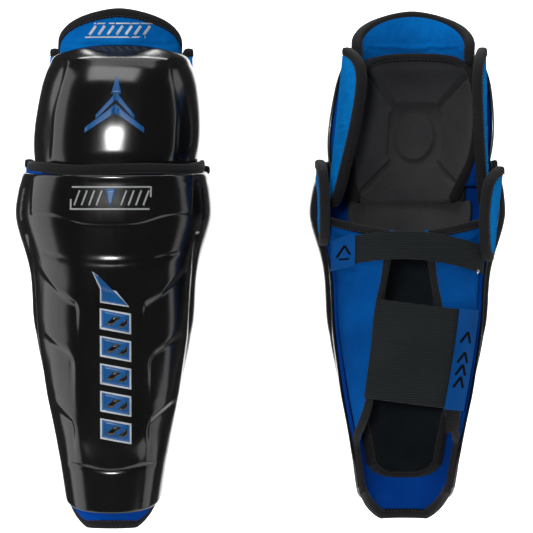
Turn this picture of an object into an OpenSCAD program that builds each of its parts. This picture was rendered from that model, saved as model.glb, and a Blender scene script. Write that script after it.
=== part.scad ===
// A pair of moulded shin guards with a tilting knee cap, padded liners and elastic straps.
// Millimetres, +Z up the leg. The right guard faces -Y and the left guard, its mirror image, faces +Y.
// One guard is drawn with its lower edge at z = 0, its front at -Y and its outer (lateral) side at -X.

/* [Pair] */
// Distance between the two guards, centre to centre
pair_gap = 263; // [230:1:320]
// How far the knee of a guard sits to its inner (medial) side
knee_shift = 6; // [0:0.5:12]

/* [Shells] */
// Wall of the moulded shells
shell_wall = 2.8; // [2.2:0.1:3]
// Lowest point of the shin shell
shell_bottom = 14; // [10:1:18]
// Top edge of the shin shell
shell_top = 315; // [312:1:317]
// Lower edge of the knee cap, behind the shin shell
cap_bottom = 302; // [300:1:304]
// Height of the strap slot in each side of the shin shell
slot_h = 27; // [15:1:30]

/* [Padding] */
// Thickness of the blue liner behind the shin shell
liner_t = 3.7; // [3:0.1:4]
// Thickness of the black shin pad
pad_t = 6.6; // [5:0.1:7]
// Thickness of the knee wings and shin wings
wing_t = 6; // [4:0.5:7]
// Thickness of the calf flaps
flap_t = 3.6; // [3:0.1:4]
// Width of the edge binding
binding_w = 7.5; // [6:0.5:8]

/* [Straps] */
// Thickness of the elastic
strap_t = 1.6; // [1.2:0.1:1.8]
// Width of the narrow upper strap
upper_strap_w = 25; // [20:1:26]
// Height of the wide calf strap at its sewn end
calf_strap_w = 93; // [80:1:96]

/* [Hidden] */
SIDES = ["right", "left"];
PIECES = ["shin_shell", "shin_liner", "shin_rim_binding", "edge_binding", "shin_pad", "knee_pad_apron",
    "calf_flap_lateral", "calf_flap_medial", "calf_binding_medial",
    "shin_wing_lateral", "shin_wing_medial", "shin_wing_binding_lateral", "shin_wing_binding_medial",
    "knee_cap", "knee_liner", "knee_pad",
    "knee_wing_lateral", "knee_wing_medial", "knee_wing_binding_lateral", "knee_wing_binding_medial",
    "thigh_pad", "thigh_pad_binding", "hinge_webbing", "cap_rivets",
    "upper_strap", "upper_strap_tab", "upper_strap_anchor", "strap_rivet", "calf_strap", "calf_strap_tab"];

guard_h = 462;
base_x = -0.05;             // puts the pair's box in the middle of the frame, sideways
base_z = -guard_h / 2;      // and in height
gap = 0.4;                  // free space between layers
seam = 0.9;                 // and between a flap and the tape on its edge

// Sections up the leg: height, half width, reach to the front, reach to the back, half wrap angle
shin_n = 2.4;
shin = [
    [0, 38, 50, 34, 84], [14, 41.5, 51.5, 36, 90], [60, 49, 57, 43, 103], [120, 62, 65, 51, 110],
    [180, 72, 74, 58, 114], [230, 76, 84, 63, 115], [275, 88, 91, 66, 117], [300, 86.5, 92.5, 66, 112],
    [318, 81.8, 93, 64, 103], [330, 81, 93, 62, 100]];
cap_n = 2.45;
cap = [
    [290, 71.5, 80, 48, 99], [315, 71.8, 82, 49, 99], [342, 74.8, 82, 50, 100], [365, 74.2, 81, 50, 100], [393, 70.2, 77, 48, 98],
    [408, 65.8, 71, 46, 96], [417, 61, 64, 44, 94], [424, 57.2, 55, 42, 92], [431, 53.5, 44, 40, 90]];
thigh_n = 2.2;
thigh = [[414, 55, 50, 40, 84], [424, 54.6, 44, 40, 84], [431, 55.2, 41, 40, 84],
    [445, 56.5, 41, 40, 84], [462, 56.5, 43, 40, 84]];
// Half of the opening between the calf flaps, by height
calf_gap = [[74, 43], [90, 37], [108, 31.5], [150, 27], [200, 22.5], [241, 16], [270, 13]];
flap_low = 104;             // where the flaps start to leave the sides
tape_low = 96;              // and where the tape on their edges starts
flap_high = 266;            // top edge at the opening
flap_rise = 12;             // and how much higher the top edge is at the sides
side_share = 0.9;           // where a flap's hinge line lies, as a share of the half width
flap_o = -7.9;              // inner face of the flaps, from the shell's outer face
tape_proud = 0.4;            // how far the rear tapes stand above the flaps
strap_o = -2.7;             // inner face of the straps
strap_side = 0.88;          // where the straps end, as a share of the half width
anchor_x = 32;              // where the free part of the upper strap begins, on the medial side

// Reach of a wing behind its hinge line, by its share of the wing's height
knee_wing_shape = [[0, 0.38], [0.25, 0.6], [0.5, 0.88], [0.75, 1], [0.9, 0.92], [1, 0.55]];
shin_wing_shape = [[0, 0.4], [0.25, 0.72], [0.5, 0.96], [0.7, 1], [0.9, 0.9], [1, 0.6]];
// How far the wings reach behind their hinge lines
knee_wing_reach = 38;
shin_wing_reach = 34;

function blend(a, b, ma, mb, u) =
    (2*u*u*u - 3*u*u + 1)*a + (u*u*u - 2*u*u + u)*ma + (3*u*u - 2*u*u*u)*b + (u*u*u - u*u)*mb;
function row_below(table, z, i = 0) =
    i >= len(table) - 2 || z < table[i + 1][0] ? i : row_below(table, z, i + 1);
function slope(table, i, k) =
    let (a = max(i - 1, 0), b = min(i + 1, len(table) - 1))
    (table[b][k] - table[a][k]) / (table[b][0] - table[a][0]);
// Value k of a table at height z, on a smooth curve through its rows
function loft(table, z, k = 1) =
    let (i = row_below(table, z), h = table[i + 1][0] - table[i][0],
         u = min(max((z - table[i][0]) / h, 0), 1))
    blend(table[i][k], table[i + 1][k], slope(table, i, k)*h, slope(table, i + 1, k)*h, u);
function mix(a, b, u) = a + (b - a)*u;
function ease(u) = let (c = min(max(u, 0), 1)) c*c*(3 - 2*c);
// Sideways place of the leg's centre line at height z
function centre(z) = knee_shift*ease((z - 270)/150) - 0.9*(1 - min(z/230, 1));
function power(v, e) = sign(v)*pow(abs(v), e);

// A point round the leg: t is 0 at the front, -90 at the lateral side and 180 at the back;
// o is the offset outwards from the section's own outline
function wall(table, n, t, z, o) = [
    (loft(table, z, 1) + o)*power(sin(t), 2/n) + centre(z),
    cos(t) > 0 ? -(loft(table, z, 2) + o)*pow(cos(t), 2/n) : (loft(table, z, 3) + o)*pow(-cos(t), 2/n),
    z];
// The same outline behind the leg, by its sideways place x
function back(x, z, o) = [
    x + centre(z),
    (loft(shin, z, 3) + o)*pow(max(1 - pow(abs(x)/(loft(shin, z, 1) + o), shin_n), 0), 1/shin_n),
    z];
function side_x(z) = side_share*(loft(shin, z, 1) + flap_o);
function strap_x(z) = strap_side*(loft(shin, z, 1) + strap_o);
function flap_top(x, z) =
    flap_high + flap_rise*pow(max(0, (x - loft(calf_gap, z)) / (side_x(z) - loft(calf_gap, z))), 1.4);

// A closed slab: p(u, v, o) is a point of it, u and v run from 0 to 1 and o is the offset
module skin(p, nu, nv, o_out, o_in) {
    w = nu + 1;
    h = nv + 1;
    points = [for (o = [o_out, o_in]) for (j = [0 : nv]) for (i = [0 : nu]) p(i/nu, j/nv, o)];
    function at(i, j, k) = k*w*h + j*w + i;
    function quad(a, b, c, d) = [[a, d, c], [a, c, b]];
    faces = concat(
        [for (j = [0 : nv - 1]) for (i = [0 : nu - 1])
            each quad(at(i, j, 0), at(i + 1, j, 0), at(i + 1, j + 1, 0), at(i, j + 1, 0))],
        [for (j = [0 : nv - 1]) for (i = [0 : nu - 1])
            each quad(at(i, j, 1), at(i, j + 1, 1), at(i + 1, j + 1, 1), at(i + 1, j, 1))],
        [for (i = [0 : nu - 1]) each quad(at(i, 0, 1), at(i + 1, 0, 1), at(i + 1, 0, 0), at(i, 0, 0))],
        [for (i = [0 : nu - 1]) each quad(at(i, nv, 0), at(i + 1, nv, 0), at(i + 1, nv, 1), at(i, nv, 1))],
        [for (j = [0 : nv - 1]) each quad(at(0, j, 0), at(0, j + 1, 0), at(0, j + 1, 1), at(0, j, 1))],
        [for (j = [0 : nv - 1]) each quad(at(nu, j, 1), at(nu, j + 1, 1), at(nu, j + 1, 0), at(nu, j, 0))]);
    inside_out = [for (f = faces) cross(points[f[0]], points[f[1]])*points[f[2]]]*[for (f = faces) 1] > 0;
    polyhedron(points, inside_out ? [for (f = faces) [f[2], f[1], f[0]]] : faces, convexity = 6);
}

// ---------- shin shell and what lines it ----------

function shell_low(t) = shell_bottom + 11*pow(abs(t)/90, 2);
function shell_high(t) = shell_top + 2*pow(abs(t)/90, 2);

module shin_shell() {
    slot_t = 64;
    slot_z = 289;
    color("#141416") difference() {
        skin(function (u, v, o)
            let (zn = mix(shell_bottom, shell_top, v), t = (2*u - 1)*loft(shin, zn, 4))
            wall(shin, shin_n, t, mix(shell_low(t), shell_high(t), v), o), 20, 15, 0, -shell_wall);
        for (s = [-1, 1])
            translate(wall(shin, shin_n, s*slot_t, slot_z, 0)) rotate([0, 0, s*slot_t])
                cube([2.4, 14, slot_h], center = true);
    }
}

function liner_low(t) = 30*pow(max(0, abs(t) - 34)/58, 1.3);
liner_top = 317;
liner_in = -shell_wall - gap - liner_t;

module shin_liner() {
    color("#0d55b0") skin(function (u, v, o)
        let (zn = mix(12, liner_top, v), t = (2*u - 1)*(loft(shin, zn, 4) - 1))
        wall(shin, shin_n, t, mix(liner_low(t) + binding_w + 1, liner_top, v), o),
        20, 15, -shell_wall - gap, liner_in);
}

module shin_rim_binding() {
    rim_t = 99;
    color("#17171a") skin(function (u, v, o)
        let (t = (2*u - 1)*rim_t)
        wall(shin, shin_n, t, mix(liner_top + gap, 324 + 2.5*pow(abs(t)/90, 2), v), o),
        20, 2, -1.8, liner_in + 0.3);
}

// The tape round a flap: along its top edge from the side, then down the opening
function tape(q, across, low) =
    let (z_in = mix(flap_high, flap_high - binding_w, across), turn = 5/14)
    q < turn
        ? let (x = mix(side_x(z_in), loft(calf_gap, z_in) + binding_w*across, q/turn))
          [x, flap_top(x, flap_high) - binding_w*across]
        : let (z = mix(z_in, low, (q - turn)/(1 - turn)))
          [loft(calf_gap, z) + binding_w*across, z];

module calf_binding(s) {
    skin(function (u, v, o)
        let (a = tape(v, u, tape_low)) back(s*a[0], a[1], o),
        1, 14, flap_o + flap_t + tape_proud, flap_o - 0.6);
}

module edge_binding() {
    color("#17171a") {
        skin(function (u, v, o)
            let (t = (2*u - 1)*loft(shin, mix(10, 24, v), 4))
            wall(shin, shin_n, t, mix(liner_low(t), liner_low(t) + binding_w, v), o),
            18, 1, -shell_wall - gap, liner_in - 0.6);
        for (s = [-1, 1])
            skin(function (u, v, o)
                let (z = mix(40, tape_low - 2, v), x = mix(0.96, 0.83, u)*(loft(shin, z, 1) + flap_o - 0.6))
                back(s*x, z, o), 2, 4, flap_o + flap_t + tape_proud, flap_o - 0.6);
        calf_binding(-1);
    }
}

module shin_pad() {
    pad_in = liner_in - gap - pad_t;
    color("#1b1c1f") {
        skin(function (u, v, o)
            let (t = (2*u - 1)*56)
            wall(shin, shin_n, t, mix(46 + 12*pow(abs(2*u - 1), 3), 258, v), o), 8, 10, liner_in - gap, pad_in);
        skin(function (u, v, o)
            let (t = (2*u - 1)*60, low = 38 + 13*pow(abs(2*u - 1), 3))
            wall(shin, shin_n, t, mix(low, low + binding_w - 0.5, v), o), 8, 1, liner_in - gap, pad_in - 0.5);
    }
}

module knee_pad_apron() {
    color("#1b1c1f") skin(function (u, v, o)
        wall(shin, shin_n, (2*u - 1)*46, mix(261, 286, v), o), 8, 2, liner_in - gap - 3, -20);
}

module calf_flap(s) {
    color("#0d55b0") skin(function (u, v, o)
        let (zn = mix(flap_low, flap_high - binding_w, v),
             x = mix(side_x(zn), loft(calf_gap, zn) + binding_w + gap, u),
             top = flap_top(x, flap_high) - binding_w - seam,
             z = mix(flap_low, top, v))
        back(s*mix(side_x(z), loft(calf_gap, z) + binding_w + seam, u), z, o),
        6, 8, flap_o + flap_t, flap_o);
}

// ---------- wings ----------

// A point of a wing: h its share of the hinge line, reach the distance behind it, o the offset outwards
function on_wing(s, low, high, angle, h, reach, o) =
    let (p = mix(low, high, h))
    [s*(p[0] - sin(angle)*reach + cos(angle)*o) + mix(centre(low[2]), centre(high[2]), h),
     p[1] + cos(angle)*reach + sin(angle)*o, p[2]];

module wing(s, low, high, angle, reach, shape) {
    share = 1 - binding_w/(high[2] - low[2]);
    color("#0d55b0") skin(function (u, v, o)
        on_wing(s, low, high, angle, v*share, mix(0.5, reach*loft(shape, v) - binding_w - seam, u), o),
        5, 7, wing_t/2, -wing_t/2);
}

module wing_binding(s, low, high, angle, reach, shape) {
    turn = 0.8;
    share = 1 - (binding_w - seam)/(high[2] - low[2]);
    color("#17171a") skin(function (u, v, o)
        let (h = min(v/turn, 1), back_to_hinge = max((v - turn)/(1 - turn), 0),
             full = reach*loft(shape, h) - binding_w*u)
        on_wing(s, low, high, angle, h*mix(1, share, u), mix(full, 0.5, back_to_hinge), o),
        1, 12, wing_t/2 + 0.8, -wing_t/2 - 0.8);
}

knee_wing_low = [68.5, 19, 286];
knee_wing_high = [61, 17, 428];
shin_wing_low = [72.5, 35.8, 238];
shin_wing_high = [80, 37, 322];
shin_wing_low_lateral = [75.5, 36.5, 252];
shin_wing_high_lateral = [81, 37, 328];

// ---------- knee cap and what lines it ----------

pivot = [0, -40, 320];       // the cap tilts about a sideways line through this point
thigh_pivot = [0, -43, 430]; // and the thigh pad flexes about one along the cap's top edge
rivet_t = 42;
rivet_z = 309;
rivet_r = 2.4;
rivet_back = -6.05;          // the rivets' inner end, behind the shell's outer face

function cap_high(t) = 421 + 9*pow(max(cos(t), 0), 2);

module cap_rivet_axis(s) {
    translate(wall(cap, cap_n, s*rivet_t, rivet_z, 0)) rotate([0, 0, s*rivet_t]) rotate([90, 0, 0]) children();
}

module knee_cap() {
    color("#101012") difference() {
        skin(function (u, v, o)
            let (zn = mix(cap_bottom, 424, v), t = (2*u - 1)*loft(cap, zn, 4))
            wall(cap, cap_n, t, mix(cap_bottom, cap_high(t), v), o), 20, 13, 0, -shell_wall);
        for (s = [-1, 1])
            cap_rivet_axis(s) translate([0, 0, -10]) cylinder(r = rivet_r + 0.1, h = 20, $fn = 32);
    }
}

module knee_liner() {
    color("#0d4a9c") skin(function (u, v, o)
        let (zn = mix(cap_bottom, 412, v), t = (2*u - 1)*(loft(cap, zn, 4) - 2))
        wall(cap, cap_n, t, mix(cap_bottom + 1, 408, v), o), 14, 8, -6.3, -9.2);
}

// The hollow that the knee rests in, which closes over the top of the knee
knee_hollow = [
    [303, 58, 64.5, 30], [340, 58.8, 65, 30], [365, 58, 61, 30], [385, 55.5, 54, 30], [400, 52, 44, 30],
    [410, 49, 35, 30]];

module knee_pad() {
    color("#1b1c1f") skin(function (u, v, o)
        let (t = (2*u - 1)*mix(54, 62, v), z = mix(cap_bottom + 1, 410, v))
        o > 0 ? wall(cap, cap_n, t, z, -10) : wall(knee_hollow, cap_n, t, z, 0), 14, 9, 1, 0);
}

module hinge_webbing() {
    color("#222226") for (s = [-1, 1]) difference() {
        skin(function (u, v, o)
            let (t = s*(rivet_t + (2*u - 1)*8), z = mix(288, 318, v))
            wall(cap, cap_n, t, z, o), 2, 6, -3.2, -4.1);
        cap_rivet_axis(s) translate([0, 0, -10]) cylinder(r = rivet_r + 0.1, h = 20, $fn = 32);
    }
}

module cap_rivets() {
    color("#9a9a9c") for (s = [-1, 1]) cap_rivet_axis(s) {
        translate([0, 0, rivet_back]) cylinder(r = rivet_r, h = 0.5 - rivet_back, $fn = 32);
        translate([0, 0, 0.3]) cylinder(r1 = 4.4, r2 = 3.4, h = 0.9, $fn = 32);
        translate([0, 0, rivet_back]) cylinder(r1 = 3.2, r2 = 3.7, h = 0.6, $fn = 32);
    }
}

function thigh_top(t) = 430 + 32*pow(1 - pow(min(abs(t)/84, 1), 1.5), 0.8);

module thigh_pad() {
    color("#0d55b0") skin(function (u, v, o)
        let (t = (2*u - 1)*80)
        wall(thigh, thigh_n, t, mix(418, max(thigh_top(t) - binding_w - gap, 421), v), o), 12, 4, 0, -7);
}

module thigh_pad_binding() {
    color("#17171a") skin(function (u, v, o)
        let (q = 2*u - 1, t_out = q*84, t_in = q*80)
        mix(wall(thigh, thigh_n, t_in, max(thigh_top(t_in) - binding_w, 421.4), o),
            wall(thigh, thigh_n, t_out, thigh_top(t_out), o), v), 16, 1, 0.4, -7.4);
}

// ---------- straps ----------

function upper_mid(x) = 240 + 13*(1 - pow(abs(x - 4)/70, 2)) - 0.055*x;

module upper_band(from, to, nu) {
    color("#1d1d20") skin(function (u, v, o)
        let (x = mix(from, to, u)) back(x, upper_mid(x) + (v - 0.5)*upper_strap_w, o),
        nu, 1, strap_o + strap_t, strap_o);
}

module upper_strap_tab() {
    color("#1163c4") skin(function (u, v, o)
        let (x = mix(-strap_x(244), -strap_x(244) + 18, u))
        back(x, upper_mid(x) + (v - 0.5)*(upper_strap_w + 3), o), 4, 1, strap_o + strap_t + 1.6,
        strap_o + strap_t + 0.5);
}

strap_rivet_x = 61;
strap_rivet_z = 229;
strap_rivet_lift = 0.65;     // clear of the strap's facets

module strap_rivet() {
    p = back(strap_rivet_x, strap_rivet_z, strap_o + strap_t);
    color("#c8c8cc") translate(p) rotate([0, 0, -62]) rotate([-90, 0, 0]) {
        translate([0, 0, strap_rivet_lift]) cylinder(r1 = 2.2, r2 = 1.5, h = 0.9, $fn = 32);
    }
}

function calf_high(x) = 198 - 0.1*x;
function calf_low(x) = calf_high(x) - calf_strap_w + 3;

module calf_strap() {
    color("#1d1d20") skin(function (u, v, o)
        let (left = mix(-39, -28, v), x = mix(left, strap_x(mix(103, 190, v)), u))
        back(x, mix(calf_low(x), calf_high(x), v), o), 14, 4, strap_o + strap_t, strap_o);
}

module calf_strap_tab() {
    color("#1163c4") skin(function (u, v, o)
        let (right = strap_x(mix(103, 190, v)), x = mix(right - 17, right, u))
        back(x, mix(calf_low(x), calf_high(x), v), o), 3, 4, strap_o + strap_t + 1.6,
        strap_o + strap_t + 0.5);
}

// The lines that the medial flap and the two straps turn about, each by two of its points
flap_line = [for (z = [flap_low, flap_high]) back(side_x(z), z, flap_o + flap_t)];
upper_line = [for (h = [0, 30]) back(anchor_x, 250, strap_o + strap_t + 0.8) + [0, 0, h]];
calf_line = [back(-39, 103, strap_o + 4), back(-28, 190, strap_o + 4)];

// ---------- the pair ----------

module piece(name) {
    if (name == "shin_shell") shin_shell();
    if (name == "shin_liner") shin_liner();
    if (name == "shin_rim_binding") shin_rim_binding();
    if (name == "edge_binding") edge_binding();
    if (name == "shin_pad") shin_pad();
    if (name == "knee_pad_apron") knee_pad_apron();
    if (name == "calf_flap_lateral") calf_flap(-1);
    if (name == "calf_flap_medial") calf_flap(1);
    if (name == "calf_binding_medial") color("#17171a") calf_binding(1);
    if (name == "shin_wing_lateral")
        wing(-1, shin_wing_low_lateral, shin_wing_high_lateral, 5, shin_wing_reach, shin_wing_shape);
    if (name == "shin_wing_medial")
        wing(1, shin_wing_low, shin_wing_high, 22, shin_wing_reach, shin_wing_shape);
    if (name == "shin_wing_binding_lateral")
        wing_binding(-1, shin_wing_low_lateral, shin_wing_high_lateral, 5, shin_wing_reach, shin_wing_shape);
    if (name == "shin_wing_binding_medial")
        wing_binding(1, shin_wing_low, shin_wing_high, 22, shin_wing_reach, shin_wing_shape);
    if (name == "knee_cap") knee_cap();
    if (name == "knee_liner") knee_liner();
    if (name == "knee_pad") knee_pad();
    if (name == "knee_wing_lateral")
        wing(-1, knee_wing_low, knee_wing_high, 28, knee_wing_reach, knee_wing_shape);
    if (name == "knee_wing_medial")
        wing(1, knee_wing_low, knee_wing_high, 12, knee_wing_reach, knee_wing_shape);
    if (name == "knee_wing_binding_lateral")
        wing_binding(-1, knee_wing_low, knee_wing_high, 28, knee_wing_reach, knee_wing_shape);
    if (name == "knee_wing_binding_medial")
        wing_binding(1, knee_wing_low, knee_wing_high, 12, knee_wing_reach, knee_wing_shape);
    if (name == "thigh_pad") thigh_pad();
    if (name == "thigh_pad_binding") thigh_pad_binding();
    if (name == "hinge_webbing") hinge_webbing();
    if (name == "cap_rivets") cap_rivets();
    if (name == "upper_strap") upper_band(-strap_x(244), anchor_x - 0.5, 15);
    if (name == "upper_strap_anchor") upper_band(anchor_x, strap_x(244), 5);
    if (name == "upper_strap_tab") upper_strap_tab();
    if (name == "strap_rivet") strap_rivet();
    if (name == "calf_strap") calf_strap();
    if (name == "calf_strap_tab") calf_strap_tab();
}

module placed(side) {
    if (side == "right") translate([base_x - pair_gap/2, 0, base_z]) children();
    if (side == "left") translate([base_x + pair_gap/2, 0, base_z]) mirror([0, 1, 0]) children();
}

for (s = SIDES) for (p = PIECES)
    placed(s) piece(p);
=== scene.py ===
"""The looks of a pair of shin guards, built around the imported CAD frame.

Lengths are in millimetres until a mesh is made. A guard is worked out in its own place, as the right guard:
front at -Y, outer (lateral) side at -X, lower edge at z = 0. The left guard is its mirror image.
"""
import math

import bmesh
import bpy
import numpy as np
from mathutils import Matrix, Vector, bvhtree, kdtree


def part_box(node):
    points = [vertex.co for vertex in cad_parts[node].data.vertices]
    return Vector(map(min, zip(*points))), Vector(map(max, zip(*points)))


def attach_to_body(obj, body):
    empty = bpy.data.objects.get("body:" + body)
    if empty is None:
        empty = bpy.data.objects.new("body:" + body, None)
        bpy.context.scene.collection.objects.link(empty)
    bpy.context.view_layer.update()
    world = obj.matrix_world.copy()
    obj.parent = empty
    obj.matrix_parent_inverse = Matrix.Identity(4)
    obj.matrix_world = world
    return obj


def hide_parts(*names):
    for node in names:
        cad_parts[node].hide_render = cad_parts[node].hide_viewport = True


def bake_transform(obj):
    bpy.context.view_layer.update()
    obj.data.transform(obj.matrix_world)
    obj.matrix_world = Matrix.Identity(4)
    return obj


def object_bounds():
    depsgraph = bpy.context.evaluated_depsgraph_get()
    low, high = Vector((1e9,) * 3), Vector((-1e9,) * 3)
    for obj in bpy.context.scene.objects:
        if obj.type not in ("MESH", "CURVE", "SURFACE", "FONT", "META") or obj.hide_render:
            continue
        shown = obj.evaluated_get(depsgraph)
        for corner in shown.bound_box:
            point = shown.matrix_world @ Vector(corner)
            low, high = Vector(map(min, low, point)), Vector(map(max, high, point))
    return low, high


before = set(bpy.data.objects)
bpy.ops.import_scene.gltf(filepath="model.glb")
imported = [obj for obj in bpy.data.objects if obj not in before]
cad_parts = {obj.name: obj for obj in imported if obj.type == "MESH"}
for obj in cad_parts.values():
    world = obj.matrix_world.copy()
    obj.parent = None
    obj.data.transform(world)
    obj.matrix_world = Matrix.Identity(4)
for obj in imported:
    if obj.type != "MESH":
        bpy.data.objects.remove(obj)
CAD_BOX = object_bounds()

# ---- the guard's sections, as in the CAD model

LOW = np.array(CAD_BOX[0])*1000
SHELL_BOX = {s: [np.array(c)*1000 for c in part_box(s + "_shin_shell")] for s in ("right", "left")}
KNEE_SHIFT = 6.0
SHELL_WALL = 2.8

SHIN_N, CAP_N, THIGH_N = 2.4, 2.45, 2.2
# height, half width, reach to the front, reach to the back, half wrap angle
SHIN = [
    [0, 38, 50, 34, 84], [14, 41.5, 51.5, 36, 90], [60, 49, 57, 43, 103], [120, 62, 65, 51, 110],
    [180, 72, 74, 58, 114], [230, 76, 84, 63, 115], [275, 88, 91, 66, 117], [300, 86.5, 92.5, 66, 112],
    [318, 81.8, 93, 64, 103], [330, 81, 93, 62, 100]]
CAP = [
    [290, 71.5, 80, 48, 99], [315, 71.8, 82, 49, 99], [342, 74.8, 82, 50, 100], [365, 74.2, 81, 50, 100],
    [393, 70.2, 77, 48, 98], [408, 65.8, 71, 46, 96], [417, 61, 64, 44, 94], [424, 57.2, 55, 42, 92],
    [431, 53.5, 44, 40, 90]]
THIGH = [[414, 55, 50, 40, 84], [424, 54.6, 44, 40, 84], [431, 55.2, 41, 40, 84],
         [445, 56.5, 41, 40, 84], [462, 56.5, 43, 40, 84]]
KNEE_HOLLOW = [
    [286, 55, 69, 30], [303, 58, 65, 30], [340, 58.8, 65, 30], [365, 58, 61, 30],
    [385, 55.5, 54, 30], [400, 52, 44, 30], [410, 49, 35, 30], [424, 47, 29, 30]]
CALF_GAP = [[74, 43], [90, 37], [108, 31.5], [150, 27], [200, 22.5], [241, 16], [270, 13]]
FLAP_HIGH, FLAP_RISE, TAPE_LOW = 266, 12, 96
FLAP_O, FLAP_T = -7.9, 3.6
LINER_T, PAD_T, LAYER_GAP = 3.7, 6.6, 0.4
LINER_IN = -SHELL_WALL - LAYER_GAP - LINER_T
STRAP_O, STRAP_T = -2.7, 1.6
STRAP_FACE = STRAP_O + STRAP_T
TAB_FACE = STRAP_FACE + 1.9


def loft(table, z, k=1):
    """Value k of a table at height z, on a smooth curve through its rows."""
    rows = np.array(table, float)
    zs = rows[:, 0]
    z = np.clip(np.asarray(z, float), zs[0], zs[-1])
    i = np.clip(np.searchsorted(zs, z, side="right") - 1, 0, len(zs) - 2)
    before, after = np.maximum(np.arange(len(zs)) - 1, 0), np.minimum(np.arange(len(zs)) + 1, len(zs) - 1)
    slopes = (rows[after, k] - rows[before, k])/(zs[after] - zs[before])
    h = zs[i + 1] - zs[i]
    u = (z - zs[i])/h
    return ((2*u**3 - 3*u**2 + 1)*rows[i, k] + (u**3 - 2*u**2 + u)*slopes[i]*h
            + (3*u**2 - 2*u**3)*rows[i + 1, k] + (u**3 - u**2)*slopes[i + 1]*h)


def mix(a, b, u):
    return a + (b - a)*u


def ease(u):
    c = np.clip(u, 0, 1)
    return c*c*(3 - 2*c)


def bump(x, centre, width):
    """A smooth hill, 1 at its centre and 0 a width away."""
    return ease(1 - np.abs(x - centre)/width)


def centre(z):
    return KNEE_SHIFT*ease((np.asarray(z) - 270)/150) - 0.9*(1 - np.minimum(np.asarray(z)/230, 1))


def wall(table, n, t, z, o):
    """A point round the leg: t is 0 at the front, in degrees; o is the offset outwards."""
    a = np.radians(t)
    s, c = np.sin(a), np.cos(a)
    x = (loft(table, z, 1) + o)*np.sign(s)*np.abs(s)**(2/n) + centre(z)
    front = -(loft(table, z, 2) + o)*np.abs(c)**(2/n)
    behind = (loft(table, z, 3) + o)*np.abs(c)**(2/n)
    return np.stack([x, np.where(c > 0, front, behind), z + 0*x], -1)


def front_at(table, n, x, z, o):
    """The front face of a section, by its sideways place x from the centre line."""
    w = loft(table, z, 1) + o
    y = -(loft(table, z, 2) + o)*np.maximum(1 - (np.abs(x)/w)**n, 0)**(1/n)
    return np.stack([x + centre(z), y, z + 0*x], -1)


def back(x, z, o):
    """The same outline behind the leg, by its sideways place x."""
    w = loft(SHIN, z, 1) + o
    y = (loft(SHIN, z, 3) + o)*np.maximum(1 - (np.abs(x)/w)**SHIN_N, 0)**(1/SHIN_N)
    return np.stack([x + centre(z), y, z + 0*x], -1)


# ---- meshes

SIDES = ("right", "left")
MAT = {}
BORDER = {}             # the rim of every slab, where its cover is sewn down


def placed(side, points):
    """Moves a guard's own points to its place in the pair, in metres."""
    p = np.array(points, float)
    middle = (SHELL_BOX[side][0][0] + SHELL_BOX[side][1][0])/2 - SHELL_OFFSET
    p[..., 0] += middle
    p[..., 2] += LOW[2]
    if side == "left":
        p[..., 1] *= -1
    return p/1000


def shell_middle():
    """Sideways middle of the shin shell's box in the guard's own place."""
    z = np.linspace(14, 317, 200)
    x = loft(SHIN, z, 1)
    return (np.max(x + centre(z)) - np.max(x - centre(z)))/2


SHELL_OFFSET = shell_middle()


def as_point(side, p):
    return tuple(float(c) for c in placed(side, p))


def mesh_object(name, side, verts, faces, materials, face_mat=None):
    """Makes a mesh object from points in the guard's own millimetres."""
    v = placed(side, verts)
    if side == "left":
        faces = [f[::-1] for f in faces]
    mesh = bpy.data.meshes.new(name)
    mesh.from_pydata(v.tolist(), [], faces)
    for m in materials:
        mesh.materials.append(MAT[m])
    if face_mat is not None:
        mesh.polygons.foreach_set("material_index", np.asarray(face_mat, np.int32))
    mesh.polygons.foreach_set("use_smooth", np.ones(len(mesh.polygons), bool))
    mesh.validate()
    mesh.update()
    o = bpy.data.objects.new(side + "_" + name, mesh)
    bpy.context.scene.collection.objects.link(o)
    return o


def attach(o, body, slot, *cad, blend=None):
    """Fixes a piece to its body, or, given a blend, bakes its place into its points instead; hides the CAD
    parts it replaces. The slot is not used.
    """
    if blend:
        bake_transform(o)
    else:
        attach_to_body(o, body)
    if cad:
        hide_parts(*cad)


def quads(index):
    """The faces of a grid of points, from their indices in rows."""
    return np.stack([index[:-1, :-1], index[:-1, 1:], index[1:, 1:], index[1:, :-1]], -1).reshape(-1, 4)


def knots(length, rim, step):
    """Parameters from 0 to 1 along a length, close together within a rim's width of both ends."""
    near = rim*(1 - np.cos(np.linspace(0, math.pi/2, 5)))/length
    count = max(int((length - 2*rim)/step), 2)
    inner = np.linspace(rim/length, 1 - rim/length, count + 1)
    return np.concatenate([near[:-1], inner, (1 - near[:-1])[::-1]])


def rounded(distance, rim):
    """Share of the full thickness at a distance from the edge, for a round edge."""
    d = np.clip(distance/rim, 0, 1)
    return np.sqrt(np.maximum(1 - (1 - d)**2, 0))


def slab_arrays(place, size, step, outer, inner, rim):
    """A closed sheet with round edges. place(u, v, o) gives points; outer and inner are offsets or functions
    of (u, v); size is its width and height. Returns points, faces and the rim's points."""
    u, v = np.meshgrid(knots(size[0], rim, step), knots(size[1], rim, step))
    o_out = outer(u, v) if callable(outer) else outer + 0*u
    o_in = inner(u, v) if callable(inner) else inner + 0*u
    e = rounded(np.minimum(u, 1 - u)*size[0], rim)*rounded(np.minimum(v, 1 - v)*size[1], rim)
    m = (o_out + o_in)/2
    top = place(u, v, m + (o_out - m)*e)
    low = place(u, v, m + (o_in - m)*e)
    index = np.arange(u.size).reshape(u.shape)
    edge = np.ones(u.shape, bool)
    edge[1:-1, 1:-1] = False
    under = np.where(edge, index, index + u.size)
    verts = np.concatenate([top.reshape(-1, 3), low.reshape(-1, 3)])
    faces = np.concatenate([quads(index), quads(under)[:, ::-1]])
    used = np.unique(faces)
    remap = np.full(len(verts), -1)
    remap[used] = np.arange(len(used))
    return verts[used], remap[faces], remap[index[edge]]


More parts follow.
